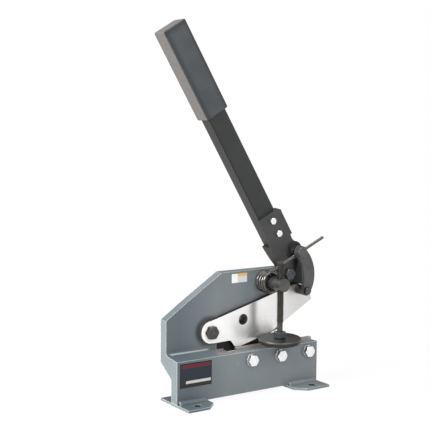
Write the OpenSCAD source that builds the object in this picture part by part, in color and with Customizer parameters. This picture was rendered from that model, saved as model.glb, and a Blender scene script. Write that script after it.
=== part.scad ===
// Bench lever shear: a plate blade pulled down by a hand lever through two bowed links.
// X runs to the right, Y to the back and Z up. The origin is the middle of the four
// bench-bolt holes, on the underside of the feet.

/* [Body] */
// Length of the front wall along X
wall_len = 270; // [250:1:300]
// Thickness of the front wall
wall_t = 16.5; // [14:0.5:20]
// Height of the top of the front wall above the bench
wall_top = 69.5; // [66:0.5:71]
// Distance from the front of the wall to the front of the upper plate
plate_y = 32; // [31.9:0.05:32.2]
// Thickness of the upper plate
plate_t = 16; // [12:0.5:20]
// Height of the top edge of the upper plate
plate_top = 192.5; // [190:0.5:195]
// Length of the bare machined end of the ledge
machined_len = 27; // [20:1:35]

/* [Feet] */
// Thickness of the feet
foot_t = 4; // [3:0.5:6]
// Width of the left foot
left_foot_w = 55; // [50:1:60]
// Width of the right foot
right_foot_w = 62; // [56:1:66]
// Reach of the feet in front of the wall
foot_reach = 33.5; // [31:0.5:40]
// Corner taken off the inner front end of each foot
foot_corner = 17; // [10:1:20]
// Distance between the bench holes along X
bench_pitch_x = 220; // [215:1:225]
// Distance between the bench holes along Y
bench_pitch_y = 53; // [50:1:56]
// Diameter of the bench holes
bench_hole_d = 12; // [10:0.5:13]
// Distance from the left end of the wall to the left bench holes
bench_hole_x = 25; // [22:1:28]
// Distance from the front holes to the front of the wall
bench_hole_y = 19; // [17:0.5:20]

/* [Blades] */
// Length of the lower blade
lower_len = 150; // [140:1:150]
// Thickness of the lower blade
lower_t = 7; // [6.9:0.05:7.1]
// Height of the lower blade
lower_h = 36; // [32:1:40]
// Height of the lower blade above the wall
lower_stand = 4; // [3:0.25:4.25]
// Height of the blade pivot above the bench
pivot_z = 102; // [101:0.5:103]
// Distance of the blade pivot from the left end of the wall
pivot_x = 76.4; // [75:0.1:78]
// Thickness of the moving blade
moving_t = 7.9; // [7.8:0.05:7.95]
// Radius of the round end of the moving blade
blade_eye_r = 17.5; // [16:0.5:19]
// Reach of the moving blade past the lower link pin
blade_tip = 19.85; // [18:0.05:22]
// Diameter of the hole that cuts round bar
bar_d = 13; // [8:0.5:14]

/* [Lever] */
// Distance from the left end of the wall to the lever pivot
lever_x = 226.5; // [225:0.5:228]
// Height of the lever pivot
lever_z = 181.7; // [180.5:0.1:183]
// Distance from the lever pivot to the upper link pin
crank = 38.9; // [38:0.1:40]
// Thickness of the lever head
head_t = 10.2; // [9.6:0.1:10.2]
// Lean of the handle to the left of upright at rest
handle_lean = 31.3; // [28:0.1:34]
// Width of the handle tube
tube_w = 34.3; // [30:0.1:36]
// Depth of the handle tube front to back
tube_depth = 21; // [18:0.5:23]
// Wall of the handle tube
tube_wall = 2.5; // [2:0.25:3]
// Length of the handle tube
tube_len = 368; // [340:1:380]
// Width of the grip
grip_w = 43; // [40:0.5:46]
// Depth of the grip front to back
grip_depth = 30; // [27:0.5:32]
// Length of the grip
grip_len = 151; // [120:1:160]
// Diameter of the lever pivot bolt
lever_bolt_d = 10; // [8:0.5:11]

/* [Links] */
// Thickness of each link
link_t = 6; // [5:0.5:6]
// Width of the bowed part of a link
link_w = 22; // [19:0.5:23]
// Radius of the upper eye of a link
link_eye_r = 9.5; // [9:0.25:10.5]
// Radius of the lower eye of a link
low_eye_r = 8; // [7.5:0.25:8.5]
// How far the bow of a link stands off the line between its pins
link_bow = 10.5; // [10:0.5:11.5]
// Diameter of the upper link pin
upper_pin_d = 8; // [7.5:0.1:8.2]
// Diameter of the lower link pin
lower_pin_d = 6; // [5.5:0.1:6.5]

/* [Hold-down] */
// Diameter of the hold-down arm
arm_d = 21; // [19:0.5:22]
// Distance of the arm from the left end of the wall
arm_x = 183.3; // [182:0.1:184]
// Height of the arm
arm_z = 172.8; // [172:0.1:173.5]
// Reach of the arm in front of the wall
arm_reach = 23; // [22:0.5:26]
// Distance of the hold-down screw in front of the wall
spindle_y = 12; // [11.5:0.25:13]
// Diameter of the hold-down screw
spindle_d = 11; // [9:0.5:11]
// Height of the top of the hold-down screw
spindle_top = 211; // [200:1:220]
// Diameter of the pressure disc
disc_d = 68; // [60:1:68]
// Thickness of the pressure disc
disc_t = 8; // [6:0.5:9]
// Height of the pressure disc above the bench at rest
disc_z = 80; // [79:0.5:84]

/* [Spring] */
// Diameter of the spring wire
wire_d = 4.4; // [4:0.1:4.6]
// Radius of the coil to the middle of the wire
coil_r = 15.8; // [15.2:0.1:16.2]
// Length of the free leg of the spring
leg_len = 125; // [110:1:130]

/* [Hidden] */
// Overrun of every cut
cut = 0.5;
// Fit between a turning hole and its pin, all round
run_fit = 0.05;
// Play between faces that slide past each other
play = 0.3;
// Fineness of round things
$fn = 48;

// Heights of the heads that set the places along Y
lever_head_h = 5.3;
pivot_play = 0.15;

// Places of the main pieces along Y
lower_y = wall_t;
moving_y = lower_y + lower_t + play;
head_y = plate_y - play - head_t;
link_stand = 19;
front_link_y = head_y - link_stand;
leg_play = 0.9;
leg_y = front_link_y + link_t + leg_play + wire_d / 2;
rear_link_y = plate_y;
plate_rear = plate_y + plate_t;

// Bench holes and the shift that puts the origin in their middle
bench_mid = [bench_hole_x + bench_pitch_x / 2, bench_pitch_y / 2 - bench_hole_y];

// The lower blade ends one unit past the wall and the ledge stops short of its left end
lower_x = wall_len - lower_len + 1;
heel_gap = 16;
ledge_len = lower_x - heel_gap;
painted_len = ledge_len - machined_len;

// Underside of the rear slope of the body, the rise of the ledge and its round to the plate
slope_low = 39.2;
slope_high = 60.7;
ledge_rise = 3.8;
ledge_slope = atan(ledge_rise / plate_y);
ledge_round = 4.5;
ledge_round_steps = 5;
// Radius of the round end of the upper plate at the lever pivot
plate_end_r = 14;
// Outline of the upper plate, as shares of the lever pivot's distance and the plate's height
plate_outline_share = [
    [0, 0.315], [0, 0.657], [0.169, 0.791], [0.45, 1], [1, 1], [1.047, 0.862], [1.02, 0.634],
    [0.936, 0.504], [0.618, 0.381], [ledge_len / lever_x, 0.374], [ledge_len / lever_x, 0.315]
];
plate_outline = [for (p = plate_outline_share) [p[0] * lever_x, p[1] * plate_top]];

// Die plate for round bar, as shares of its own length and taken from its lower left corner
die_len = 120;
die_t = 8;
die_x = 92;
die_z = 71.3;
die_heel_share = (ledge_len + play - die_x) / die_len;
die_outline_share = [
    [0, 0], [die_heel_share, 0], [die_heel_share, -0.05], [0.705, -0.05], [0.705, 0.062],
    [1, 0.156], [1, 0.5725], [0.567, 0.506], [0, 0.356]
];
bar_clear = 3.5;
bar_bevel = 2.2;
die_screw_share = [[0.11, 0.17], [0.83, 0.36]];
die_screw_d = 6;
die_screw_head_d = 12;
die_screw_len = 14;

// Link pins
crank_angle = 76.6;
lever_at = [lever_x, lever_z];
upper_pin = lever_at + crank * [cos(crank_angle), sin(crank_angle)];
link_drop = [13.3, -65.3];
lower_pin = upper_pin + link_drop;
link_pitch = norm(link_drop);
link_bow_r = (link_pitch * link_pitch / 4 + link_bow * link_bow) / (2 * link_bow);
link_boss_r = 7.8;
// The rear link has wider eyes than the front one
rear_eye_r = link_eye_r + 2;
rear_low_eye_r = low_eye_r + 3;
// The leg of the spring lies in a groove of the upper pin
groove_d = 4;
// The upper pin wanders inside this round hole of the lever head as the lever turns
wander_at = [-3.52, -3.92];
wander_r = 5.3;
head_hole_d = upper_pin_d + 2 * wander_r + 2 * play;

// Moving blade: outline from the pivot as shares of its reach
pivot_at = [pivot_x, pivot_z];
blade_reach = norm(lower_pin - pivot_at) + blade_tip;
pin_eye_r = 9.2;
bar_at_share = [0.3065, 0.0675];
bar_at = pivot_at + blade_reach * bar_at_share;
blade_outline_share = [
    [-0.0405, 0.0765], [0.825, 0.307], [0.88, 0.3], [0.99, 0.198], [0.997, 0.167], [0.593, -0.06],
    [0.284, -0.143], [0.2245, -0.1395], [0.1935, -0.097], [0.178, -0.087], [0.042, -0.091],
    [-0.0235, -0.0875]
];
pivot_bolt_d = 12;
pivot_bolt_af = 19;
pivot_head_h = 8;
pivot_nut_h = 10;

// Lever head, as shares of the crank, from the lever pivot
head_outline_share = [
    [-1.607, 2.285], [-0.874, 2.655], [-0.738, 2.797], [-0.473, 2.727], [-0.03, 1.8175],
    [0.136, 1.4756], [0.37, 1.27], [0.6, 0.9], [0.33, 0], [-0.33, -0.1], [-0.568, 0.344],
    [-0.753, 0.684], [-0.959, 1.172], [-1.2, 1.648]
];
head_web = 4.5;
head_hub_r = 14;
head_eye_r = 15.5;
rib_edge = 8.5;
rib_w = 20;
rib_len = 33;
flange_t = 8.3;
flange_low = 3;
flange_high = 42;
tube_foot = lever_at + [-18.2, 55.7];
tube_y = head_y + head_web;
handle_bolt_side = 2.2;
handle_bolt_at = [12.3, 36.6];
handle_bolt_d = 6;
handle_bolt_af = 10;
handle_bolt_h = 4;
grip_from = 236.2;
grip_round = 2.6;

// Hexagon heads and nuts: the chamfer leaves a round face of this share of the flats
hex_face_share = 0.94;
hex_chamfer = 30;
lower_bolt_d = 10;
lower_bolt_af = 17;
lower_bolt_h = 6.4;
lower_bolt_z = 55.5;
lower_bolt_first = 16;
lower_bolt_last = 21;
lower_bolt_pitch = (lower_len - lower_bolt_first - lower_bolt_last) / 2;
washer_t = 2;
washer_d = 20;
upper_pin_af = 16;
upper_pin_h = 5.5;
spacer_d = 14;
cover_d = 31;
cover_t = 1.5;
lower_pin_af = 11;
lower_pin_h = 4.5;
lever_bolt_af = 17;
nut_h = 8;
small_nut_h = 5;

// Hold-down parts
stud_d = 12;
arm_nut_af = 19;
arm_nut_h = 10;
neck_d = 9;
hub_af = 18;
hub_h = 9.5;
neck_h = 15;
disc_slope = 2.5;
hub_depth = 4;
tip_h = 5;
tip_d = 8;

// Spring
bend_r = 2.8;
spring_far = plate_y - bend_r;
leg_lean = 4;
coil_front = leg_y - leg_lean;
leg_clear = groove_d / 2 + wire_d / 2 + play;
// The coil opens out by this much over its last part, before the free leg
leg_rise = 2.4;
rise_angle = 90;
leg_line = coil_r + leg_rise + leg_clear;
arm_at = [arm_x, arm_z];
to_pin = upper_pin - arm_at;
leg_angle = atan2(to_pin[1], to_pin[0]) - asin(leg_line / norm(to_pin));
leg_to_pin = sqrt(to_pin * to_pin - leg_line * leg_line);
leg_start = leg_angle + 90;
lower_leg_angle = -12.8;
lower_leg_start = lower_leg_angle + 270;
lower_leg_len = 15;
anchor_depth = 6;
full_turns = 3;
turn_angle = 360 * full_turns + lower_leg_start - leg_start;
// The turning part of the spring starts at this angle, low on the right of the arm
split_angle = 300;
split_turn = turn_angle - (split_angle - leg_start);
split_gap = 1.4;
ring_step = 15;
wire_sides = 6;

// Plates and labels
plate_label_t = 0.3;
data_plate_t = 0.6;
data_plate_w = 56.5;
data_plate_h = 37;
data_plate_at = [5.5, 28.5];
label_w = 29.5;
label_h = 14.4;
label_at = [120.4, 174];

// Colours
body_paint = [0.45, 0.50, 0.56];
bright = [0.80, 0.80, 0.78];
ground = [0.72, 0.71, 0.68];
zinc = [0.86, 0.86, 0.84];
browned = [0.20, 0.18, 0.17];
blackened = [0.13, 0.13, 0.14];
grip_colour = [0.20, 0.23, 0.28];

// Puts the origin in the middle of the bench holes
module placed() {
    translate([-bench_mid[0], -bench_mid[1], 0])
        children();
}

// A flat shape drawn in X and Z, standing from y0 over the thickness t
module slab(y0, t) {
    translate([0, y0 + t, 0])
        rotate([90, 0, 0])
            linear_extrude(t)
                children();
}

// A round bar along Y that starts at y0
module bar(at, y0, length, d) {
    translate([at[0], y0 + length, at[1]])
        rotate([90, 0, 0])
            cylinder(h = length, d = d);
}

// A hexagon along Y that starts at y0, with its corners chamfered at the front or the rear
module hexagon(at, y0, length, across_flats, rear = false) {
    face_r = across_flats * hex_face_share / 2;
    wide_r = face_r + length / tan(hex_chamfer);
    translate([at[0], y0 + length, at[1]])
        rotate([90, 0, 0])
            intersection() {
                cylinder(h = length, d = across_flats / cos(30), $fn = 6);
                cylinder(h = length, r1 = rear ? face_r : wide_r, r2 = rear ? wide_r : face_r);
            }
}

// A bolt with its head at the front, underside of the head at y0
module bolt(at, y0, length, d, across_flats, head_h) {
    bar(at, y0 - cut, length + cut, d);
    hexagon(at, y0 - head_h, head_h, across_flats);
}

// A nut or washer along Y with its hole
module nut(at, y0, height, d, across_flats) {
    difference() {
        hexagon(at, y0, height, across_flats, rear = true);
        bar(at, y0 - cut, height + 2 * cut, d + 2 * run_fit);
    }
}

module washer(at, y0, t, d, outer_d) {
    difference() {
        bar(at, y0, t, outer_d);
        bar(at, y0 - cut, t + 2 * cut, d + 2 * run_fit);
    }
}

// Body: wall, sloping ledge and upper plate
module plate_shape() {
    polygon(plate_outline);
    translate(lever_at)
        circle(r = plate_end_r);
}

module ledge_section() {
    middle = [
        plate_y - ledge_round,
        wall_top + ledge_rise * (1 - ledge_round / plate_y) + ledge_round / cos(ledge_slope)
    ];
    round_points = [for (i = [0:ledge_round_steps])
        let (a = (ledge_slope - 90) * i / ledge_round_steps)
            middle + ledge_round * [cos(a), sin(a)]];
    polygon(concat(
        [[0, foot_t], [wall_t, foot_t], [wall_t, slope_low], [plate_rear, slope_high]],
        [[plate_rear, wall_top + 3 * ledge_rise]],
        round_points,
        [[0, wall_top]]
    ));
}

module machined_section() {
    polygon([
        [0, foot_t], [wall_t, foot_t], [wall_t, slope_low], [plate_rear, slope_high],
        [plate_rear, wall_top], [0, wall_top]
    ]);
}

module along_x(from, length) {
    translate([from, 0, 0])
        rotate([90, 0, 90])
            linear_extrude(length)
                children();
}

module frame_body() {
    color(body_paint)
        placed()
            difference() {
                union() {
                    translate([0, 0, foot_t])
                        cube([wall_len, wall_t, wall_top - foot_t]);
                    along_x(0, painted_len)
                        ledge_section();
                    along_x(painted_len, ledge_len - painted_len)
                        machined_section();
                    slab(plate_y, plate_t)
                        plate_shape();
                }
                slab(plate_y - cut, die_t + cut)
                    die_shape();
                bar(bar_at, plate_y - cut, plate_t + 2 * cut, bar_d + 2 * bar_clear);
                for (p = die_screw_share)
                    bar(die_at(p), plate_y, die_screw_len + play, die_screw_d);
                for (i = [0:2])
                    bar(lower_bolt_at(i), -cut, wall_t + 2 * cut, lower_bolt_d + 2 * run_fit);
                bar(pivot_at, plate_y - cut, plate_t + 2 * cut, pivot_bolt_d + 2 * run_fit);
                bar(lever_at, plate_y - cut, plate_t + 2 * cut, lever_bolt_d + 2 * run_fit);
                bar(arm_at, plate_y - cut, plate_t + 2 * cut, stud_d + 2 * run_fit);
                bar(anchor_at, plate_y - cut, anchor_depth + cut + play, wire_d + 4 * run_fit);
            }
}

// Feet, each with a front and a rear bench hole
module foot(w, corner_side) {
    linear_extrude(foot_t)
        difference() {
            polygon([
                [0, -foot_reach], [w - foot_corner, -foot_reach], [w, foot_corner - foot_reach],
                [w, plate_rear], [0, plate_rear]
            ]);
            for (y = [-bench_hole_y, bench_pitch_y - bench_hole_y])
                translate([bench_hole_x, y])
                    circle(d = bench_hole_d);
        }
}

module left_foot() {
    color(body_paint)
        placed()
            foot(left_foot_w);
}

module right_foot() {
    color(body_paint)
        placed()
            translate([bench_hole_x * 2 + bench_pitch_x, 0, 0])
                mirror([1, 0, 0])
                    foot(right_foot_w);
}

// Lower blade with its bolts
function lower_bolt_at(i) = [lower_x + lower_bolt_first + i * lower_bolt_pitch, lower_bolt_z];

module lower_blade() {
    color(ground)
        placed()
            difference() {
                translate([lower_x, lower_y, wall_top + lower_stand - lower_h])
                    cube([lower_len, lower_t, lower_h]);
                for (i = [0:2])
                    bar(lower_bolt_at(i), lower_y - cut, lower_t + 2 * cut, lower_bolt_d);
            }
}

module lower_blade_bolts() {
    color(zinc)
        placed()
            for (i = [0:2])
                bolt(lower_bolt_at(i), -washer_t, washer_t + lower_y + lower_t - cut,
                    lower_bolt_d - 2 * run_fit, lower_bolt_af, lower_bolt_h);
}

module lower_blade_washers() {
    color(zinc)
        placed()
            for (i = [0:2])
                washer(lower_bolt_at(i), -washer_t, washer_t, lower_bolt_d, washer_d);
}

// Moving blade: a long blade with an eye at its pivot, a bar hole and an eye for the link pin
module blade_body() {
    slab(moving_y, moving_t)
        translate(pivot_at)
            polygon(blade_reach * blade_outline_share);
    bar(pivot_at, moving_y, moving_t, 2 * blade_eye_r);
    bar(lower_pin, moving_y, moving_t, 2 * pin_eye_r);
}

module moving_blade() {
    color(bright)
        placed()
            difference() {
                blade_body();
                bar(lower_pin, moving_y - cut, moving_t + 2 * cut, lower_pin_d + 2 * run_fit);
                bar(pivot_at, moving_y - cut, moving_t + 2 * cut, pivot_bolt_d + 2 * run_fit);
                bar(bar_at, moving_y - cut, moving_t + 2 * cut, bar_d);
                translate([bar_at[0], moving_y, bar_at[1]])
                    rotate([-90, 0, 0])
                        cylinder(h = bar_bevel, d1 = bar_d + 2 * bar_bevel, d2 = bar_d);
            }
}

module blade_pivot_bolt() {
    head_under = moving_y - pivot_play;
    color(browned)
        placed()
            bolt(pivot_at, head_under, plate_rear + pivot_nut_h - head_under, pivot_bolt_d,
                pivot_bolt_af, pivot_head_h);
}

module blade_pivot_nut() {
    color(browned)
        placed()
            nut(pivot_at, plate_rear, pivot_nut_h, pivot_bolt_d, pivot_bolt_af);
}

// Die plate for round bar, let into the front of the upper plate
function die_at(p) = [die_x, die_z] + die_len * p;

module die_shape() {
    polygon([for (p = die_outline_share) die_at(p)]);
}

module bar_die_plate() {
    color(blackened)
        placed()
            difference() {
                slab(plate_y, die_t)
                    die_shape();
                bar(bar_at, plate_y - cut, die_t + 2 * cut, bar_d);
                for (p = die_screw_share) {
                    bar(die_at(p), plate_y - cut, die_t + 2 * cut, die_screw_d);
                    countersink(p);
                }
            }
}

module countersink(p) {
    at = die_at(p);
    translate([at[0], plate_y, at[1]])
        rotate([-90, 0, 0])
            cylinder(h = (die_screw_head_d - die_screw_d) / 2, d1 = die_screw_head_d,
                d2 = die_screw_d);
}

module die_screws() {
    color(blackened)
        placed()
            for (p = die_screw_share) {
                bar(die_at(p), plate_y, die_screw_len, die_screw_d);
                countersink(p);
            }
}

// Links: a bowed bar between two eyes
module link_shape(upper_r, lower_r) {
    across = [-link_drop[1], link_drop[0]] / link_pitch;
    narrow = 0.4;
    middle = (upper_pin + lower_pin) / 2 - across * (link_bow_r - link_bow);
    mid_angle = atan2(across[1], across[0]);
    half_angle = asin(link_pitch / 2 / link_bow_r);
    steps = 12;
    angles = [for (i = [-steps:steps]) mid_angle + half_angle * i / steps];
    half_w = [for (i = [-steps:steps])
        let (end_w = (i < 0 ? lower_r : upper_r) - narrow, share = pow(abs(i) / steps, 2))
            link_w / 2 * (1 - share) + end_w * share];
    outer = [for (i = [0:2 * steps])
        middle + (link_bow_r + half_w[i]) * [cos(angles[i]), sin(angles[i])]];
    inner = [for (i = [2 * steps:-1:0])
        middle + (link_bow_r - half_w[i]) * [cos(angles[i]), sin(angles[i])]];
    polygon(concat(outer, inner));
    translate(upper_pin)
        circle(r = upper_r);
    translate(lower_pin)
        circle(r = lower_r);
}

module link_holes(from, to) {
    bar(upper_pin, from, to - from, upper_pin_d + 2 * run_fit);
    bar(lower_pin, from, to - from, lower_pin_d + 2 * run_fit);
}

module front_link() {
    color(blackened)
        placed()
            difference() {
                union() {
                    slab(front_link_y, link_t)
                        link_shape(link_eye_r, low_eye_r);
                    bar(lower_pin, front_link_y, moving_y - play - front_link_y,
                        2 * link_boss_r);
                }
                link_holes(front_link_y - cut, moving_y);
            }
}

module rear_link() {
    color(blackened)
        placed()
            difference() {
                slab(rear_link_y, link_t)
                    link_shape(rear_eye_r, rear_low_eye_r);
                link_holes(rear_link_y - cut, rear_link_y + link_t + cut);
            }
}

module upper_link_bolt() {
    color(browned)
        placed()
            difference() {
                bolt(upper_pin, front_link_y, rear_link_y + link_t + nut_h - front_link_y,
                    upper_pin_d, upper_pin_af, upper_pin_h);
                washer(upper_pin, front_link_y + link_t, wire_d + 2 * leg_play,
                    groove_d - 2 * run_fit, upper_pin_d + 2 * cut);
            }
}

module upper_link_nut() {
    color(browned)
        placed()
            nut(upper_pin, rear_link_y + link_t, nut_h, upper_pin_d, upper_pin_af);
}

// Bush on the upper pin with a flange that covers the clearance hole of the lever head
module link_spacer() {
    bush_y = leg_y + wire_d / 2 + leg_play;
    color(blackened)
        placed() {
            washer(upper_pin, bush_y, head_y - play - bush_y, upper_pin_d, spacer_d);
            washer(upper_pin, head_y - play - cover_t, cover_t, upper_pin_d, cover_d);
        }
}

module lower_link_screw() {
    color(browned)
        placed()
            bolt(lower_pin, front_link_y, rear_link_y + link_t + small_nut_h - front_link_y,
                lower_pin_d, lower_pin_af, lower_pin_h);
}

module lower_link_nut() {
    color(browned)
        placed()
            nut(lower_pin, rear_link_y + link_t, small_nut_h, lower_pin_d, lower_pin_af);
}

// Lever: head, flange beside the tube, tube and grip
function on_handle(a, b) = tube_foot + [
    a * cos(handle_lean) - b * sin(handle_lean), a * sin(handle_lean) + b * cos(handle_lean)
];

module along_handle() {
    translate(tube_foot)
        rotate(handle_lean)
            children();
}

module head_shape() {
    translate(lever_at)
        polygon(crank * head_outline_share);
    translate(lever_at)
        circle(r = head_hub_r);
    translate(upper_pin)
        circle(r = head_eye_r);
}

// Rib that thickens the left edge of the head up to the depth of the tube
module head_rib() {
    intersection() {
        slab(head_y, head_web + tube_depth)
            head_shape();
        translate([tube_foot[0], 0, tube_foot[1]])
            rotate([0, -handle_lean, 0])
                along_x(-rib_edge - rib_w, rib_w)
                    polygon([
                        [head_y, -rib_len], [head_y + head_t, -rib_len],
                        [tube_y + tube_depth, -play], [head_y, -play]
                    ]);
    }
}

module lever_head() {
    color(blackened)
        placed()
            difference() {
                union() {
                    slab(head_y, head_web)
                        head_shape();
                    slab(head_y, head_t)
                        intersection() {
                            head_shape();
                            along_handle()
                                translate([-tube_len, -2 * tube_len - play])
                                    square(2 * tube_len);
                        }
                    slab(head_y, head_web + tube_depth)
                        along_handle()
                            translate([tube_w / 2, -flange_low])
                                square([flange_t, flange_high + flange_low]);
                    head_rib();
                }
                bar(lever_at, head_y - cut, head_t + 2 * cut, lever_bolt_d + 2 * run_fit);
                bar(upper_pin + wander_at, head_y - cut, head_t + 2 * cut, head_hole_d);
                for (b = handle_bolt_at)
                    bar(on_handle(handle_bolt_side, b), head_y - cut, head_t + 2 * cut,
                        handle_bolt_d + 2 * run_fit);
            }
}

module lever_pivot_bolt() {
    color(browned)
        placed()
            bolt(lever_at, head_y - pivot_play, plate_rear + nut_h - head_y + pivot_play,
                lever_bolt_d, lever_bolt_af, lever_head_h);
}

module lever_pivot_nut() {
    color(browned)
        placed()
            nut(lever_at, plate_rear, nut_h, lever_bolt_d, lever_bolt_af);
}

module handle_tube() {
    color(blackened)
        placed()
            difference() {
                slab(tube_y, tube_depth)
                    along_handle()
                        translate([-tube_w / 2, 0])
                            square([tube_w, tube_len]);
                slab(tube_y + tube_wall, tube_depth - 2 * tube_wall)
                    along_handle()
                        translate([tube_wall - tube_w / 2, -cut])
                            square([tube_w - 2 * tube_wall, tube_len + 2 * cut]);
                for (b = handle_bolt_at)
                    bar(on_handle(handle_bolt_side, b), tube_y - cut, tube_depth + 2 * cut,
                        handle_bolt_d + 2 * run_fit);
            }
}

module handle_bolts() {
    color(zinc)
        placed()
            for (b = handle_bolt_at)
                bolt(on_handle(handle_bolt_side, b), head_y, head_web + tube_depth + small_nut_h,
                    handle_bolt_d, handle_bolt_af, handle_bolt_h);
}

module handle_nuts() {
    color(zinc)
        placed()
            for (b = handle_bolt_at)
                nut(on_handle(handle_bolt_side, b), tube_y + tube_depth, small_nut_h, handle_bolt_d,
                    handle_bolt_af);
}

module grip() {
    grip_y = tube_y + tube_depth / 2;
    color(grip_colour)
        placed()
            difference() {
                translate([tube_foot[0], grip_y, tube_foot[1]])
                    rotate([0, -handle_lean, 0])
                        hull()
                            for (x = [-1, 1], y = [-1, 1], z = [0, 1])
                                translate([
                                    x * (grip_w / 2 - grip_round), y * (grip_depth / 2 - grip_round),
                                    grip_from + grip_round + z * (grip_len - 2 * grip_round)
                                ])
                                    sphere(r = grip_round, $fn = 24);
                slab(tube_y, tube_depth)
                    along_handle()
                        translate([-tube_w / 2, grip_from - cut])
                            square([tube_w, tube_len - grip_from + cut]);
            }
}

// Hold-down: arm, screw and disc
module hold_down_arm() {
    color(blackened)
        placed()
            difference() {
                union() {
                    bar(arm_at, -arm_reach, arm_reach + plate_y, arm_d);
                    bar(arm_at, plate_y - cut, plate_t + arm_nut_h + cut, stud_d);
                }
                translate([arm_x, -spindle_y, arm_z - arm_d])
                    cylinder(h = 2 * arm_d, d = spindle_d + 2 * run_fit);
            }
}

module arm_nut() {
    color(zinc)
        placed()
            nut(arm_at, plate_rear, arm_nut_h, stud_d, arm_nut_af);
}

module at_spindle(z) {
    translate([arm_x, -spindle_y, z])
        children();
}

module spindle() {
    neck_from = disc_z + disc_t - hub_depth + pivot_play;
    neck_to = disc_z + disc_t + hub_h + neck_h;
    color(browned)
        placed() {
            at_spindle(neck_from)
                cylinder(h = neck_to - neck_from + cut, d = neck_d);
            at_spindle(neck_to)
                cylinder(h = spindle_top - tip_h - neck_to, d = spindle_d);
            at_spindle(spindle_top - tip_h - cut)
                cylinder(h = tip_h + cut, d = tip_d);
        }
}

module spindle_hub() {
    color(blackened)
        placed()
            difference() {
                at_spindle(disc_z + disc_t)
                    cylinder(h = hub_h, d = hub_af / cos(30), $fn = 6);
                at_spindle(disc_z + disc_t - cut)
                    cylinder(h = hub_h + 2 * cut, d = neck_d + 2 * run_fit);
            }
}

module pressure_foot() {
    color(blackened)
        placed()
            difference() {
                at_spindle(disc_z)
                    rotate_extrude()
                        polygon([
                            [0, 0], [disc_d / 2, 0], [disc_d / 2, disc_t - disc_slope],
                            [hub_af / 2 + disc_slope, disc_t], [0, disc_t]
                        ]);
                at_spindle(disc_z + disc_t - hub_depth)
                    cylinder(h = hub_depth + cut, d = neck_d + 2 * run_fit);
            }
}

// Spring: one wire, cut low on the right so that the free leg can turn about the arm
function radial(a) = [cos(a), 0, sin(a)];
function coil_radius(turn) = coil_r + leg_rise * max(0, 1 - (turn_angle - turn) / rise_angle);
function coil_point(turn) = [arm_x, spring_far + (coil_front - spring_far) * turn / turn_angle, arm_z]
    + coil_radius(turn) * radial(lower_leg_start - turn);
function coil_rings(from, to) = let (n = ceil((to - from) / ring_step))
    [for (i = [0:n]) let (turn = from + (to - from) * i / n)
        [coil_point(turn), radial(lower_leg_start - turn)]];

lower_leg_way = radial(lower_leg_angle);
lower_leg_end = coil_point(0) + (lower_leg_len - bend_r) * lower_leg_way;
anchor_at = [for (i = [0, 2]) (lower_leg_end + bend_r * lower_leg_way)[i]];
bend_steps = 4;
anchor_rings = [for (y = [anchor_depth, 0])
    [lower_leg_end + [0, bend_r + y, 0] + bend_r * lower_leg_way, radial(lower_leg_start)]];
bend_rings = [for (i = [bend_steps - 1:-1:1]) let (a = 90 * i / bend_steps)
    [lower_leg_end + bend_r * (sin(a) * lower_leg_way + [0, 1 - cos(a), 0]),
        radial(lower_leg_start)]];
lower_leg_rings = [[lower_leg_end, radial(lower_leg_start)]];
fixed_rings = concat(anchor_rings, bend_rings, lower_leg_rings, coil_rings(0, split_turn));
free_rings = concat(coil_rings(split_turn + split_gap, turn_angle),
    [[coil_point(turn_angle) + leg_len * (radial(leg_angle) + [0, leg_lean / leg_to_pin, 0]),
        radial(leg_start)]]);

function along(rings, i) = let (a = rings[max(i - 1, 0)][0], b = rings[min(i + 1, len(rings) - 1)][0])
    (b - a) / norm(b - a);

module wire(rings) {
    n = len(rings);
    points = [for (i = [0:n - 1], k = [0:wire_sides - 1])
        let (u = rings[i][1], v = cross(along(rings, i), u), a = 360 * k / wire_sides)
            rings[i][0] + wire_d / 2 * (cos(a) * u + sin(a) * v)];
    sides = [for (i = [0:n - 2], k = [0:wire_sides - 1])
        let (a = i * wire_sides + k, b = i * wire_sides + (k + 1) % wire_sides)
            each [[a, a + wire_sides, b], [b, a + wire_sides, b + wire_sides]]];
    caps = [for (k = [1:wire_sides - 2])
        each [[0, k, k + 1], [n * wire_sides - wire_sides, n * wire_sides - wire_sides + k + 1,
            n * wire_sides - wire_sides + k]]];
    polyhedron(concat(points), concat(sides, caps));
}

spring_rings = concat(fixed_rings, free_rings);
near_rings = 180 / ring_step;
spring_gap = min([for (i = [0:len(spring_rings) - 1], j = [0:len(spring_rings) - 1])
    if (j > i + near_rings) norm(spring_rings[i][0] - spring_rings[j][0]) - wire_d]);
echo(spring_gap = spring_gap);

module spring_coil() {
    color(blackened)
        placed()
            wire(fixed_rings);
}

module spring_leg() {
    color(blackened)
        placed()
            wire(free_rings);
}

// Plates without any writing
module data_plate() {
    color(blackened)
        placed()
            slab(-data_plate_t, data_plate_t)
                translate(data_plate_at)
                    square([data_plate_w, data_plate_h]);
}

module plate_label() {
    color([0.9, 0.9, 0.87])
        placed()
            slab(plate_y - plate_label_t, plate_label_t)
                translate(label_at)
                    square([label_w, label_h]);
}

frame_body();
left_foot();
right_foot();
lower_blade();
lower_blade_bolts();
lower_blade_washers();
moving_blade();
blade_pivot_bolt();
blade_pivot_nut();
bar_die_plate();
die_screws();
front_link();
rear_link();
upper_link_bolt();
upper_link_nut();
link_spacer();
lower_link_screw();
lower_link_nut();
lever_head();
lever_pivot_bolt();
lever_pivot_nut();
handle_tube();
handle_bolts();
handle_nuts();
grip();
hold_down_arm();
arm_nut();
spindle();
spindle_hub();
pressure_foot();
spring_coil();
spring_leg();
data_plate();
plate_label();
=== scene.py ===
from math import cos, pi, radians, sin

import bmesh
import bpy
from mathutils import Matrix, Vector


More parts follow.
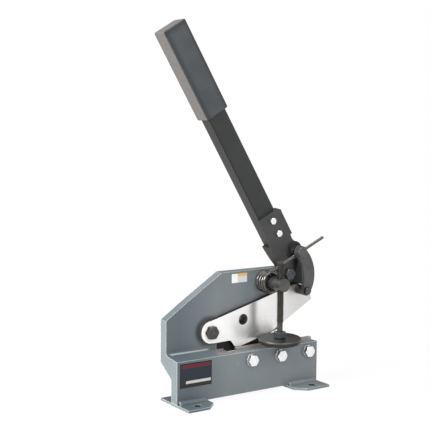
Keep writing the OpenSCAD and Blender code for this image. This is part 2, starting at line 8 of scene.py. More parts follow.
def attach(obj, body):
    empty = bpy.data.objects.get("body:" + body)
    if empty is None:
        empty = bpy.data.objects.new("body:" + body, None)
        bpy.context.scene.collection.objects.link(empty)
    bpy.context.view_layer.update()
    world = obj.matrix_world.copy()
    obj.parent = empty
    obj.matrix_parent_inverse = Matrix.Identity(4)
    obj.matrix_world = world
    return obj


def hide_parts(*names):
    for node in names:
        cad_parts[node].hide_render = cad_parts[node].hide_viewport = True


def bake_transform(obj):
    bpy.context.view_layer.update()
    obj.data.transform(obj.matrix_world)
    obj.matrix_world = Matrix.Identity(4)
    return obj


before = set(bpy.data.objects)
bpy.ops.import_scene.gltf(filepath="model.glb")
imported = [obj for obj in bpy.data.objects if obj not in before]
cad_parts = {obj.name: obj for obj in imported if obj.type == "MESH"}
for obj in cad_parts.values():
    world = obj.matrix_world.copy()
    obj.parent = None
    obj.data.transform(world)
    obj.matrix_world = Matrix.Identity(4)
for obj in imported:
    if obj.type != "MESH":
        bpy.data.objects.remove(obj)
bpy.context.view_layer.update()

# Studio: a pale floor under a white surround, with a large soft lamp at the left and weaker
# ones in front and above, as in a catalogue picture. A dark card behind on the right shows in
# gloss alone and takes the glare off the upper faces.
FLOOR_SIZE = 6.0
FLOOR_WHITE = (0.8, 0.8, 0.8, 1.0)
FLOOR_GLOW = 0.93
SKY_LEVEL = 0.32
LAMPS = [
    ("key_lamp", (-2.0, -0.1, 1.1), 1.0, 78.0),
    ("front_lamp", (0.1, -2.0, 1.4), 1.2, 25.0),
    ("top_lamp", (0.1, 0.5, 2.2), 1.2, 20.0),
]
AIM = Vector((0.0, 0.0, 0.2))
FLAG_WAY = (0.55, 0.80, 0.15)
FLAG_EDGE = (0.30, 0.85)
FLAG_DEPTH = 0.80
# The floor shows its own shade inside the bench holes and clears to white away from the feet.
HOLE_AT = (0.110, 0.0265)
HOLE_R = 0.0068
CLEAR_FROM, CLEAR_TO = 0.22, 0.60


def seen_rays(nodes, links):
    """A value of 1 for rays that show the surround itself, in the camera, in gloss or through glass."""
    path = nodes.new("ShaderNodeLightPath")
    gloss = nodes.new("ShaderNodeMath")
    gloss.operation = "MAXIMUM"
    links.new(path.outputs["Is Camera Ray"], gloss.inputs[0])
    links.new(path.outputs["Is Glossy Ray"], gloss.inputs[1])
    both = nodes.new("ShaderNodeMath")
    both.operation = "MAXIMUM"
    links.new(gloss.outputs[0], both.inputs[0])
    links.new(path.outputs["Is Transmission Ray"], both.inputs[1])
    return both.outputs[0]


def floor_material():
    mat = bpy.data.materials.new("studio_floor")
    mat.use_nodes = True
    nodes = mat.node_tree.nodes
    links = mat.node_tree.links
    nodes.clear()
    out = nodes.new("ShaderNodeOutputMaterial")
    mix = nodes.new("ShaderNodeMixShader")
    dull = nodes.new("ShaderNodeBsdfDiffuse")
    dull.inputs["Color"].default_value = FLOOR_WHITE
    glow = nodes.new("ShaderNodeEmission")
    place = nodes.new("ShaderNodeTexCoord")
    far = nodes.new("ShaderNodeVectorMath")
    far.operation = "LENGTH"
    links.new(place.outputs["Object"], far.inputs[0])
    clear = nodes.new("ShaderNodeMapRange")
    clear.interpolation_type = "SMOOTHSTEP"
    clear.inputs["From Min"].default_value = CLEAR_FROM
    clear.inputs["From Max"].default_value = CLEAR_TO
    clear.inputs["To Min"].default_value = FLOOR_GLOW
    clear.inputs["To Max"].default_value = 1.0
    links.new(far.outputs["Value"], clear.inputs["Value"])
    quarter = nodes.new("ShaderNodeVectorMath")
    quarter.operation = "ABSOLUTE"
    links.new(place.outputs["Object"], quarter.inputs[0])
    from_hole = nodes.new("ShaderNodeVectorMath")
    from_hole.operation = "DISTANCE"
    from_hole.inputs[1].default_value = (HOLE_AT[0], HOLE_AT[1], 0.0)
    links.new(quarter.outputs["Vector"], from_hole.inputs[0])
    outside = nodes.new("ShaderNodeMath")
    outside.operation = "GREATER_THAN"
    outside.inputs[1].default_value = HOLE_R
    links.new(from_hole.outputs["Value"], outside.inputs[0])
    glowing = nodes.new("ShaderNodeMath")
    glowing.operation = "MULTIPLY"
    links.new(clear.outputs["Result"], glowing.inputs[0])
    links.new(outside.outputs[0], glowing.inputs[1])
    share = nodes.new("ShaderNodeMath")
    share.operation = "MULTIPLY"
    links.new(seen_rays(nodes, links), share.inputs[0])
    links.new(glowing.outputs[0], share.inputs[1])
    links.new(share.outputs[0], mix.inputs[0])
    links.new(dull.outputs[0], mix.inputs[1])
    links.new(glow.outputs[0], mix.inputs[2])
    links.new(mix.outputs[0], out.inputs["Surface"])
    return mat


floor_mesh = bpy.data.meshes.new("floor")
bm = bmesh.new()
bmesh.ops.create_grid(bm, x_segments=1, y_segments=1, size=FLOOR_SIZE / 2)
bm.to_mesh(floor_mesh)
bm.free()
floor_mesh.materials.append(floor_material())
floor = bpy.data.objects.new("floor", floor_mesh)
bpy.context.scene.collection.objects.link(floor)

world = bpy.data.worlds.new("studio")
bpy.context.scene.world = world
world.use_nodes = True
sky_nodes = world.node_tree.nodes
sky_links = world.node_tree.links
sky_nodes.clear()
sky_out = sky_nodes.new("ShaderNodeOutputWorld")
sky_mix = sky_nodes.new("ShaderNodeMixShader")
sky_light = sky_nodes.new("ShaderNodeBackground")
sky_light.inputs["Strength"].default_value = SKY_LEVEL
sky_seen = sky_nodes.new("ShaderNodeBackground")
for shade in (sky_light, sky_seen):
    shade.inputs["Color"].default_value = (1.0, 1.0, 1.0, 1.0)
sky_way = sky_nodes.new("ShaderNodeTexCoord")
towards = sky_nodes.new("ShaderNodeVectorMath")
towards.operation = "DOT_PRODUCT"
towards.inputs[1].default_value = Vector(FLAG_WAY).normalized()
sky_links.new(sky_way.outputs["Generated"], towards.inputs[0])
flag = sky_nodes.new("ShaderNodeMapRange")
flag.interpolation_type = "SMOOTHSTEP"
flag.inputs["From Min"].default_value = FLAG_EDGE[0]
flag.inputs["From Max"].default_value = FLAG_EDGE[1]
flag.inputs["To Min"].default_value = 0.0
flag.inputs["To Max"].default_value = FLAG_DEPTH
sky_links.new(towards.outputs["Value"], flag.inputs["Value"])
sky_path = sky_nodes.new("ShaderNodeLightPath")
in_gloss = sky_nodes.new("ShaderNodeMath")
in_gloss.operation = "MULTIPLY"
sky_links.new(sky_path.outputs["Is Glossy Ray"], in_gloss.inputs[0])
sky_links.new(flag.outputs["Result"], in_gloss.inputs[1])
rest = sky_nodes.new("ShaderNodeMath")
rest.operation = "SUBTRACT"
rest.inputs[0].default_value = 1.0
sky_links.new(in_gloss.outputs[0], rest.inputs[1])
sky_links.new(rest.outputs[0], sky_seen.inputs["Strength"])
sky_links.new(seen_rays(sky_nodes, sky_links), sky_mix.inputs[0])
sky_links.new(sky_light.outputs[0], sky_mix.inputs[1])
sky_links.new(sky_seen.outputs[0], sky_mix.inputs[2])
sky_links.new(sky_mix.outputs[0], sky_out.inputs["Surface"])

for name, place, size, power in LAMPS:
    lamp = bpy.data.lights.new(name, "AREA")
    lamp.shape = "SQUARE"
    lamp.size = size
    lamp.energy = power
    lamp_object = bpy.data.objects.new(name, lamp)
    lamp_object.location = place
    lamp_object.rotation_euler = (AIM - Vector(place)).to_track_quat("-Z", "Y").to_euler()
    bpy.context.scene.collection.objects.link(lamp_object)

# Camera: stands at the front left, a little above the work, with a long lens.
CAMERA_PLACE = (-0.8874, -1.2287, 0.4355)
CAMERA_TURN = radians(33.838)
CAMERA_DIP = radians(5.744)
CAMERA_ROLL = radians(0.410)
CAMERA_LENS = 82.09
camera = bpy.data.cameras.new("camera")
camera.lens = CAMERA_LENS
camera.sensor_width = 36.0
camera_object = bpy.data.objects.new("camera", camera)
camera_object.matrix_world = (
    Matrix.Translation(CAMERA_PLACE)
    @ Matrix.Rotation(-CAMERA_TURN, 4, "Z")
    @ Matrix.Rotation(pi / 2 - CAMERA_DIP, 4, "X")
    @ Matrix.Rotation(CAMERA_ROLL, 4, "Z")
)
bpy.context.scene.collection.objects.link(camera_object)
bpy.context.scene.camera = camera_object
bpy.context.scene.view_settings.view_transform = "Standard"

# Body and feet: one thick steel plate bent into a front wall, a ledge and an upright plate, on
# two flat feet. All is sprayed in smooth grey-blue paint, and the right end of the ledge is milled
# bare. Light and shade are painted into the paint: a pale painted highlight on the edges and on
# the fillet of the ledge, painted shade darkening the left end, a dark painted shade round the
# pivot of the moving blade and painted shade inside the bores of the feet.
BODY_PAINT = (0.168, 0.193, 0.203, 1.0)
BODY_PAINT_DARK = (0.147, 0.171, 0.182, 1.0)
# Painted shade: the paint darkens towards the left end, except on the faces that look left.
BODY_LEFT_SHADE = (0.086, 0.110, 0.125, 1.0)
# Painted highlight: a pale tone laid on the edges and on the fillet of the ledge.
BODY_PAINTED_HIGHLIGHT = (0.54, 0.58, 0.61, 1.0)
LEFT_SHADE_X = (-0.110, -0.045)
BARE_STEEL = (0.30, 0.29, 0.275, 1.0)
BARE_DARK = (0.24, 0.232, 0.22, 1.0)
BARE_WAY = (1.0, -0.447, 0.0)
BARE_X = (-0.0566, -0.030)
BARE_Y = (-0.0035, 0.0243)
BARE_Z = (0.0682, 0.072)
# Painted highlight: a pale line on the rounded fillet of the ledge.
LEDGE_HIGHLIGHT_AT = [("X", -0.128, -0.060), ("Z", 0.0724, 0.081)]
LEDGE_HIGHLIGHT_LOW, LEDGE_HIGHLIGHT_HIGH, LEDGE_HIGHLIGHT_SHARE = (0.20, 0.45), (0.90, 0.70), 0.6
PIVOT_AT = (-0.0586, 0.0, 0.102)
# Painted shade: a dark ring on the plate round the pivot of the moving blade.
PIVOT_SHADE_R, PIVOT_SHADE_SHARE = (0.0275, 0.0210), 0.6
PIVOT_SHADE_Y = (0.0290, 0.0270)
PIVOT_SHADE_Z = (0.077, 0.082)
PIVOT_SHADE_DARK = (0.020, 0.021, 0.022, 1.0)
# Painted shade: dark inside the bores of the feet.
BORE_AT = (0.110, 0.0265)
BORE_R = 0.0063
BORE_Z = (-0.001, 0.0037)
BORE_SHADE = (0.016, 0.017, 0.018, 1.0)
# How far the painted edge highlight reaches and how it fades, found from a rounded normal.
EDGE_HIGHLIGHT_REACH = 0.0018
EDGE_HIGHLIGHT_AGREEMENT = (0.985, 0.86)
EDGE_HIGHLIGHT_SAMPLES = 6
BODY_EDGE = 0.0022
FOOT_EDGE = 0.0008


def new_material(name, colour, metallic, roughness):
    """A named material with its shader's fixed values, and its nodes and links."""
    mat = bpy.data.materials.new(name)
    mat.use_nodes = True
    shader = mat.node_tree.nodes["Principled BSDF"]
    shader.inputs["Base Color"].default_value = colour
    shader.inputs["Metallic"].default_value = metallic
    shader.inputs["Roughness"].default_value = roughness
    return mat, shader, mat.node_tree.nodes, mat.node_tree.links


def object_noise(nodes, links, scale, detail, stretch=(1.0, 1.0, 1.0), turn=(0.0, 0.0, 0.0)):
    """Noise on the piece's own coordinates, stretched along its axes and turned."""
    place = nodes.new("ShaderNodeTexCoord")
    mapping = nodes.new("ShaderNodeMapping")
    mapping.inputs["Scale"].default_value = stretch
    mapping.inputs["Rotation"].default_value = turn
    links.new(place.outputs["Object"], mapping.inputs["Vector"])
    noise = nodes.new("ShaderNodeTexNoise")
    noise.inputs["Scale"].default_value = scale
    noise.inputs["Detail"].default_value = detail
    links.new(mapping.outputs["Vector"], noise.inputs["Vector"])
    return noise.outputs["Fac"]


def two_tones(nodes, links, value, low, high, spread=(0.35, 0.65)):
    """Lets a value move a colour between two close tones."""
    ramp = nodes.new("ShaderNodeValToRGB")
    ramp.color_ramp.elements[0].position = spread[0]
    ramp.color_ramp.elements[1].position = spread[1]
    ramp.color_ramp.elements[0].color = low
    ramp.color_ramp.elements[1].color = high
    links.new(value, ramp.inputs["Fac"])
    return ramp.outputs["Color"]


def relief(nodes, links, shader, value, strength, depth):
    """Lets a value raise and sink the surface a little."""
    bump = nodes.new("ShaderNodeBump")
    bump.inputs["Strength"].default_value = strength
    bump.inputs["Distance"].default_value = depth
    links.new(value, bump.inputs["Height"])
    links.new(bump.outputs["Normal"], shader.inputs["Normal"])


def roughness_drift(nodes, links, shader, value, low, high):
    """Lets a value move the roughness between two values."""
    span = nodes.new("ShaderNodeMapRange")
    span.inputs["To Min"].default_value = low
    span.inputs["To Max"].default_value = high
    links.new(value, span.inputs["Value"])
    links.new(span.outputs["Result"], shader.inputs["Roughness"])


def between(nodes, links, value, low, high):
    """A value of 1 where the given one lies between two limits."""
    test = nodes.new("ShaderNodeMath")
    test.operation = "COMPARE"
    test.inputs[1].default_value = (low + high) / 2
    test.inputs[2].default_value = (high - low) / 2
    links.new(value, test.inputs[0])
    return test.outputs[0]


def product(nodes, links, first, second):
    """Two values multiplied."""
    both = nodes.new("ShaderNodeMath")
    both.operation = "MULTIPLY"
    links.new(first, both.inputs[0])
    links.new(second, both.inputs[1])
    return both.outputs[0]


def blended(nodes, links, share, low, high):
    """A colour between two others, each fixed or from another node."""
    mix = nodes.new("ShaderNodeMix")
    mix.data_type = "RGBA"
    links.new(share, mix.inputs["Factor"])
    for socket, tone in (("A", low), ("B", high)):
        if isinstance(tone, tuple):
            mix.inputs[socket].default_value = tone
        else:
            links.new(tone, mix.inputs[socket])
    return mix.outputs["Result"]


def object_axes(nodes, links, kind="Object"):
    """The three parts of the piece's own coordinates or normal."""
    place = nodes.new("ShaderNodeTexCoord")
    axes = nodes.new("ShaderNodeSeparateXYZ")
    links.new(place.outputs[kind], axes.inputs[0])
    return axes.outputs


def facing_along(nodes, links, axis, low, high):
    """A value from 0 to 1 as the surface turns to face along an axis, forwards or back."""
    facing = nodes.new("ShaderNodeMath")
    facing.operation = "ABSOLUTE"
    links.new(object_axes(nodes, links, "Normal")[axis], facing.inputs[0])
    share = nodes.new("ShaderNodeMapRange")
    share.inputs["From Min"].default_value = low
    share.inputs["From Max"].default_value = high
    links.new(facing.outputs[0], share.inputs["Value"])
    return share.outputs["Result"]


def rising(nodes, links, value, low, high, top=1.0):
    """A value that goes softly from 0 at one limit to its top at the other."""
    share = nodes.new("ShaderNodeMapRange")
    share.interpolation_type = "SMOOTHSTEP"
    share.inputs["From Min"].default_value = low
    share.inputs["From Max"].default_value = high
    share.inputs["To Max"].default_value = top
    links.new(value, share.inputs["Value"])
    return share.outputs["Result"]


def along_way(nodes, links, way):
    """How far a place on the piece lies along a direction."""
    place = nodes.new("ShaderNodeTexCoord")
    far = nodes.new("ShaderNodeVectorMath")
    far.operation = "DOT_PRODUCT"
    far.inputs[1].default_value = way
    links.new(place.outputs["Object"], far.inputs[0])
    return far.outputs["Value"]


def on_edges(nodes, links, reach, amount):
    """A value that rises beside the edges, from how far a rounded normal leaves the true one."""
    rounded = nodes.new("ShaderNodeBevel")
    rounded.samples = EDGE_HIGHLIGHT_SAMPLES
    rounded.inputs["Radius"].default_value = reach
    true = nodes.new("ShaderNodeNewGeometry")
    agree = nodes.new("ShaderNodeVectorMath")
    agree.operation = "DOT_PRODUCT"
    links.new(rounded.outputs["Normal"], agree.inputs[0])
    links.new(true.outputs["Normal"], agree.inputs[1])
    return rising(nodes, links, agree.outputs["Value"], *EDGE_HIGHLIGHT_AGREEMENT, amount)


def from_axis(nodes, links, middle):
    """The distance from an axis that runs front to rear."""
    axes = object_axes(nodes, links)
    flat = nodes.new("ShaderNodeCombineXYZ")
    links.new(axes["X"], flat.inputs["X"])
    links.new(axes["Z"], flat.inputs["Z"])
    far = nodes.new("ShaderNodeVectorMath")
    far.operation = "DISTANCE"
    far.inputs[1].default_value = middle
    links.new(flat.outputs[0], far.inputs[0])
    return far.outputs["Value"]


def grey_blue_paint(name, edge_highlight_share):
    mat, shader, nodes, links = new_material(name, BODY_PAINT, 0.0, 0.36)
    cloud = object_noise(nodes, links, 14.0, 3.0)
    paint = two_tones(nodes, links, cloud, BODY_PAINT_DARK, BODY_PAINT)
    grain = object_noise(nodes, links, 240.0, 3.0, (1.0, 0.08, 1.0))
    metal = two_tones(nodes, links, grain, BARE_DARK, BARE_STEEL)
    axes = object_axes(nodes, links)
    bare = product(nodes, links, between(nodes, links, along_way(nodes, links, BARE_WAY), *BARE_X),
                   between(nodes, links, axes["Z"], *BARE_Z))
    bare = product(nodes, links, bare, between(nodes, links, axes["Y"], *BARE_Y))
    # Painted shade: darker towards the left end, but not on faces that look left.
    along = nodes.new("ShaderNodeMapRange")
    along.inputs["From Min"].default_value = LEFT_SHADE_X[0]
    along.inputs["From Max"].default_value = LEFT_SHADE_X[1]
    links.new(axes["X"], along.inputs["Value"])
    end_face = nodes.new("ShaderNodeMath")
    end_face.operation = "MULTIPLY_ADD"
    end_face.use_clamp = True
    end_face.inputs[1].default_value = -1.0
    links.new(object_axes(nodes, links, "Normal")["X"], end_face.inputs[0])
    links.new(along.outputs["Result"], end_face.inputs[2])
    paint = blended(nodes, links, end_face.outputs[0], BODY_LEFT_SHADE, paint)
    # Painted shade: a dark ring round the pivot of the moving blade.
    pivot_shade = rising(nodes, links, from_axis(nodes, links, PIVOT_AT), *PIVOT_SHADE_R, PIVOT_SHADE_SHARE)
    pivot_shade = product(nodes, links, pivot_shade, rising(nodes, links, axes["Z"], *PIVOT_SHADE_Z))
    pivot_shade = product(nodes, links, pivot_shade, rising(nodes, links, axes["Y"], *PIVOT_SHADE_Y))
    paint = blended(nodes, links, pivot_shade, paint, PIVOT_SHADE_DARK)
    # Painted highlight: a pale tone along the edges.
    paint = blended(nodes, links, on_edges(nodes, links, EDGE_HIGHLIGHT_REACH, edge_highlight_share), paint, BODY_PAINTED_HIGHLIGHT)
    # Painted highlight: a pale line on the rounded fillet of the ledge.
    facing = facing_along(nodes, links, "Y", 0.0, 1.0)
    ledge_highlight = product(nodes, links, rising(nodes, links, facing, *LEDGE_HIGHLIGHT_LOW),
                  rising(nodes, links, facing, *LEDGE_HIGHLIGHT_HIGH, LEDGE_HIGHLIGHT_SHARE))
    for axis, low, high in LEDGE_HIGHLIGHT_AT:
        ledge_highlight = product(nodes, links, ledge_highlight, between(nodes, links, axes[axis], low, high))
    paint = blended(nodes, links, ledge_highlight, paint, BODY_PAINTED_HIGHLIGHT)
    skin = blended(nodes, links, bare, paint, metal)
    # Painted shade: dark inside the bores of the feet.
    bore = between(nodes, links, axes["Z"], *BORE_Z)
    for axis, middle in (("X", BORE_AT[0]), ("Y", BORE_AT[1])):
        from_middle = nodes.new("ShaderNodeMath")
        from_middle.operation = "ABSOLUTE"
        links.new(axes[axis], from_middle.inputs[0])
        bore = product(nodes, links, bore, between(nodes, links, from_middle.outputs[0],
                                                   middle - BORE_R, middle + BORE_R))
    links.new(blended(nodes, links, bore, skin, BORE_SHADE), shader.inputs["Base Color"])
    roughness_drift(nodes, links, shader, object_noise(nodes, links, 60.0, 2.0), 0.20, 0.30)
    relief(nodes, links, shader, object_noise(nodes, links, 260.0, 2.0), 0.10, 0.0004)
    return mat


def dress(node_name, material, edge=0.0, segments=2, sharp=40.0):
    """Gives a CAD node its material and, where it has sharp edges, a small round on each."""
    piece = bpy.data.objects[node_name]
    piece.data.materials.clear()
    piece.data.materials.append(material)
    weld = piece.modifiers.new("weld", "WELD")
    weld.merge_threshold = 0.00001
    flat = piece.modifiers.new("flat", "DECIMATE")
    flat.decimate_type = "DISSOLVE"
    flat.angle_limit = radians(0.5)
    if edge > 0:
        bevel = piece.modifiers.new("edge", "BEVEL")
        bevel.width = edge
        bevel.segments = segments
        bevel.limit_method = "ANGLE"
        bevel.angle_limit = radians(sharp)
        bevel.harden_normals = False
        bevel.use_clamp_overlap = True
    smooth = piece.modifiers.new("even_shading", "WEIGHTED_NORMAL")
    smooth.keep_sharp = True
    return piece


body_paint = grey_blue_paint("grey_blue_paint", 0.85)
dress("frame_body", body_paint, BODY_EDGE, 3)
for part in ("left_foot", "right_foot"):
    dress(part, body_paint, FOOT_EDGE, 2)

# Weld beads: the wall stands on each foot with a fillet weld along its front, laid in short
# overlapping runs and painted over with the rest of the body.
BEAD_R = 0.0056
BEAD_STEP = 0.0016
BEAD_RIPPLE = 0.06
BEAD_SIDES = 12
BEAD_START, BEAD_END = 0.5, 0.6
BEADS = [("left_weld_bead", 0.003, 0.051), ("right_weld_bead", 0.211, 0.267)]
FOOT_TOP = 0.004
WALL_LEFT, WALL_FRONT = -0.135, -0.0075


def from_wall(x, y, z):
    """A place given from the left end and the front of the wall and from the bench."""
    return Vector((WALL_LEFT + x, WALL_FRONT + y, z))


def pull(bm, edges, shift):
    """Extrudes a loop of edges and moves the new loop, which it returns."""
    grown = bmesh.ops.extrude_edge_only(bm, edges=edges)["geom"]
    verts = [g for g in grown if isinstance(g, bmesh.types.BMVert)]
    bmesh.ops.translate(bm, verts=verts, vec=shift)
    return [g for g in grown if isinstance(g, bmesh.types.BMEdge)], verts


def swell(bm, verts, middle, factor):
    """Scales points about a middle."""
    bmesh.ops.scale(bm, verts=verts, vec=(factor, factor, factor),
                    space=Matrix.Translation(-middle))


def piece_from(bm, name, material, smooth=True):
    """Closes, recalculates and stores a bmesh as a new piece with its material."""
    bmesh.ops.remove_doubles(bm, verts=bm.verts, dist=0.000001)
    bmesh.ops.holes_fill(bm, edges=[e for e in bm.edges if e.is_boundary], sides=0)
    bmesh.ops.recalc_face_normals(bm, faces=bm.faces)
    mesh = bpy.data.meshes.new(name)
    bm.to_mesh(mesh)
    bm.free()
    mesh.materials.append(material)
    if smooth:
        for face in mesh.polygons:
            face.use_smooth = True
        mesh.set_sharp_from_angle(angle=radians(42))
    made = bpy.data.objects.new(name, mesh)
    bpy.context.scene.collection.objects.link(made)
    return made


# The beads take the body paint with its painted light and shade, and a weaker painted edge highlight.
bead_paint = grey_blue_paint("bead_paint", 0.12)
for name, start, end in BEADS:
    bm = bmesh.new()
    middle = from_wall(start, 0.0, FOOT_TOP)
    bmesh.ops.create_circle(bm, segments=BEAD_SIDES, radius=BEAD_R * BEAD_START,
                            matrix=Matrix.Translation(middle) @ Matrix.Rotation(pi / 2, 4, "Y"))
    edges = list(bm.edges)
    steps = round((end - start) / BEAD_STEP)
    now = BEAD_START
    for i in range(1, steps + 1):
        edges, verts = pull(bm, edges, Vector((BEAD_STEP, 0.0, 0.0)))
        middle = middle + Vector((BEAD_STEP, 0.0, 0.0))
        due = BEAD_END if i == steps else 1.0 + BEAD_RIPPLE * (i % 2)
        swell(bm, verts, middle, due / now)
        now = due
    bmesh.ops.bisect_plane(bm, geom=list(bm.verts) + list(bm.edges) + list(bm.faces),
                           dist=0.0000001, plane_co=(0.0, 0.0, FOOT_TOP / 2),
                           plane_no=(0.0, 0.0, -1.0), clear_outer=True)
    bead = piece_from(bm, name, bead_paint)
    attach(bead, "body")

# Lower blade: a bar of tool steel behind the wall with a ground top, held by three zinc-plated
# hexagon bolts with washers, whose side faces carry painted shade.
LOWER_STEEL = (0.40, 0.375, 0.345, 1.0)
LOWER_STEEL_DARK = (0.30, 0.28, 0.255, 1.0)
ZINC = (0.93, 0.935, 0.94, 1.0)
ZINC_DULL = (0.80, 0.805, 0.81, 1.0)
ZINC_SIDE_SHADE = (0.26, 0.265, 0.27, 1.0)


def ground_steel():
    mat, shader, nodes, links = new_material("lower_blade_steel", LOWER_STEEL, 0.55, 0.38)
    grain = object_noise(nodes, links, 300.0, 3.0, (0.06, 1.0, 1.0))
    links.new(two_tones(nodes, links, grain, LOWER_STEEL_DARK, LOWER_STEEL), shader.inputs["Base Color"])
    roughness_drift(nodes, links, shader, grain, 0.30, 0.50)
    relief(nodes, links, shader, grain, 0.12, 0.0002)
    return mat


def zinc_plate():
    mat, shader, nodes, links = new_material("zinc_plate", ZINC, 0.85, 0.28)
    cloud = object_noise(nodes, links, 180.0, 3.0)
    bright = two_tones(nodes, links, cloud, ZINC_DULL, ZINC)
    # Painted shade: the faces that don't look front or back are darker.
    links.new(blended(nodes, links, facing_along(nodes, links, "Y", 0.40, 0.80), ZINC_SIDE_SHADE, bright),
              shader.inputs["Base Color"])
    roughness_drift(nodes, links, shader, cloud, 0.22, 0.42)
    return mat


dress("lower_blade", ground_steel(), 0.0004, 2)
zinc = zinc_plate()
dress("lower_blade_bolts", zinc, 0.0004, 2, 20)
dress("lower_blade_washers", zinc, 0.0003, 2)

# Bar die plate: a black-oxidised steel plate let into the upper plate, with the fixed half of
# the round-bar cutter, held by two countersunk screws.
OXIDE_BLACK = (0.020, 0.021, 0.022, 1.0)
OXIDE_GREY = (0.034, 0.035, 0.036, 1.0)


def black_oxide_and_shade():
    mat, shader, nodes, links = new_material("black_oxide_and_shade", OXIDE_BLACK, 0.3, 0.45)
    shader.inputs["Specular IOR Level"].default_value = 0.25
    cloud = object_noise(nodes, links, 70.0, 4.0)
    links.new(two_tones(nodes, links, cloud, OXIDE_BLACK, OXIDE_GREY), shader.inputs["Base Color"])
    roughness_drift(nodes, links, shader, cloud, 0.38, 0.55)
    return mat


oxide_and_shade = black_oxide_and_shade()
dress("bar_die_plate", oxide_and_shade, 0.0005, 2)
dress("die_screws", oxide_and_shade, 0.0002, 1)

# Moving blade: a long blade of polished tool steel, ground on its faces and left dark from the
# forge round its edge, with painted shade darkening it towards its tip. It turns on a dark
# hexagon bolt with a nut behind the plate.
BLADE_BRIGHT = (0.97, 0.965, 0.95, 1.0)
BLADE_GREY = (0.90, 0.895, 0.88, 1.0)
BLADE_TIP_SHADE = (0.66, 0.65, 0.64, 1.0)
BLADE_TIP_X = (0.03, 0.115)
BLADE_DULL_R, BLADE_METAL = (0.012, 0.030), 0.9
BLADE_RIM = (0.060, 0.054, 0.050, 1.0)
BOLT_BROWN = (0.085, 0.078, 0.072, 1.0)
BOLT_DARK = (0.050, 0.046, 0.043, 1.0)
BOLT_SIDE_SHADE = (0.022, 0.018, 0.016, 1.0)


def polished_blade():
    mat, shader, nodes, links = new_material("polished_blade", BLADE_BRIGHT, BLADE_METAL, 0.2)
    grain = object_noise(nodes, links, 130.0, 3.0, (0.12, 1.0, 1.0), (0.0, radians(17), 0.0))
    bright = two_tones(nodes, links, grain, BLADE_GREY, BLADE_BRIGHT, (0.15, 0.55))
    # Painted shade: the blade darkens towards its tip.
    along = nodes.new("ShaderNodeMapRange")
    along.inputs["From Min"].default_value = BLADE_TIP_X[0]
    along.inputs["From Max"].default_value = BLADE_TIP_X[1]
    links.new(object_axes(nodes, links)["X"], along.inputs["Value"])
    bright = blended(nodes, links, along.outputs["Result"], bright, BLADE_TIP_SHADE)
    shader.inputs["Anisotropic"].default_value = 0.75
    upwards = nodes.new("ShaderNodeCombineXYZ")
    upwards.inputs["Z"].default_value = 1.0
    links.new(upwards.outputs[0], shader.inputs["Tangent"])
    flat = facing_along(nodes, links, "Y", 0.75, 0.95)
    links.new(blended(nodes, links, flat, BLADE_RIM, bright), shader.inputs["Base Color"])
    links.new(rising(nodes, links, from_axis(nodes, links, PIVOT_AT), *BLADE_DULL_R, BLADE_METAL),
              shader.inputs["Metallic"])
    rough = nodes.new("ShaderNodeMapRange")
    rough.inputs["To Min"].default_value = 0.5
    rough.inputs["To Max"].default_value = 0.30
    links.new(flat, rough.inputs["Value"])
    links.new(rough.outputs["Result"], shader.inputs["Roughness"])
    return mat


def dark_bolt_steel():
    mat, shader, nodes, links = new_material("dark_bolt_steel", BOLT_BROWN, 0.55, 0.36)
    cloud = object_noise(nodes, links, 220.0, 3.0)
    face = two_tones(nodes, links, cloud, BOLT_DARK, BOLT_BROWN)
    # Painted shade: the faces that don't look front or back are darker.
    links.new(blended(nodes, links, facing_along(nodes, links, "Y", 0.40, 0.80), BOLT_SIDE_SHADE, face),
              shader.inputs["Base Color"])
    roughness_drift(nodes, links, shader, cloud, 0.30, 0.46)
    return mat


dress("moving_blade", polished_blade(), 0.0006, 2)
bolt_steel = dark_bolt_steel()
dress("blade_pivot_bolt", bolt_steel, 0.0005, 2, 20)
dress("blade_pivot_nut", bolt_steel, 0.0004, 2, 20)

# Lever head: a forging with its scale under satin black paint, with a painted shadow darkening it
# behind the links. It turns on a blued hexagon bolt through the top corner of the plate.
HEAD_BLACK = (0.044, 0.044, 0.044, 1.0)
HEAD_GREY = (0.058, 0.058, 0.057, 1.0)
HEAD_SIDE_SHADE = (0.024, 0.024, 0.022, 1.0)
HEAD_LINK_SHADOW = (0.006, 0.006, 0.006, 1.0)
LINK_SHADOW_X, LINK_SHADOW_SHARE = (0.0975, 0.1035), 0.92
LINK_SHADOW_Z = (0.208, 0.199)
PIN_BLUE = (0.085, 0.096, 0.106, 1.0)
PIN_DARK = (0.045, 0.051, 0.058, 1.0)
PIN_SIDE_SHADE = (0.020, 0.022, 0.025, 1.0)


def forged_black():
    mat, shader, nodes, links = new_material("forged_black", HEAD_BLACK, 0.25, 0.42)
    shader.inputs["Specular IOR Level"].default_value = 0.35
    cloud = object_noise(nodes, links, 45.0, 4.0)
    face = two_tones(nodes, links, cloud, HEAD_BLACK, HEAD_GREY)
    axes = object_axes(nodes, links)
    # Painted shadow: the head darkens behind the links.
    link_shadow = product(nodes, links, rising(nodes, links, axes["X"], *LINK_SHADOW_X, LINK_SHADOW_SHARE),
                    rising(nodes, links, axes["Z"], *LINK_SHADOW_Z))
    face = blended(nodes, links, link_shadow, face, HEAD_LINK_SHADOW)
    # Painted shade: the faces that don't look front or back are darker.
    links.new(blended(nodes, links, facing_along(nodes, links, "Y", 0.70, 0.95), HEAD_SIDE_SHADE, face),
              shader.inputs["Base Color"])
    roughness_drift(nodes, links, shader, cloud, 0.34, 0.50)
    relief(nodes, links, shader, object_noise(nodes, links, 150.0, 3.0), 0.12, 0.0004)
    return mat


